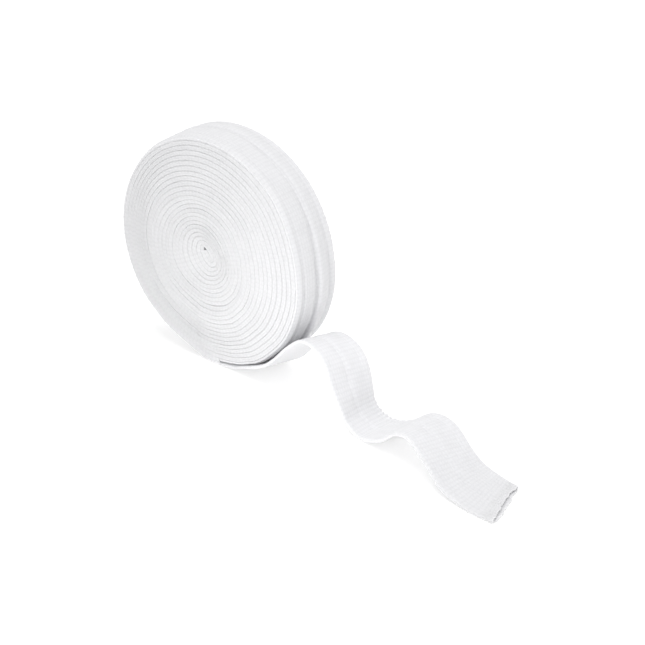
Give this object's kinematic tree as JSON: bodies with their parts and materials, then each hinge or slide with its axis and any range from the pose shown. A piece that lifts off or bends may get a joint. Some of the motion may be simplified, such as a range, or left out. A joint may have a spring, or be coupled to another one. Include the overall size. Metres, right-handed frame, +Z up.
{
  "type": "tubular gauze bandage",
  "caption": "Knitted tubular gauze bandage wound flat into a disc that stands on its rim, its free end lying in waves and ending in an open cut mouth.",
  "frame": {"origin": "on the surface the bandage stands on, under the middle of the wound disc", "axes": "+Z up, Y along the disc's axis with the pictured face towards -Y, +X towards the free end"},
  "size_m": [0.1745, 0.0402, 0.0779],
  "materials": {
    "gauze": "matt white knitted cotton gauze with cross ribs"
  },
  "bodies": {
    "root": {"wound_roll": "gauze", "loose_end": "gauze"}
  },
  "joints": []
}
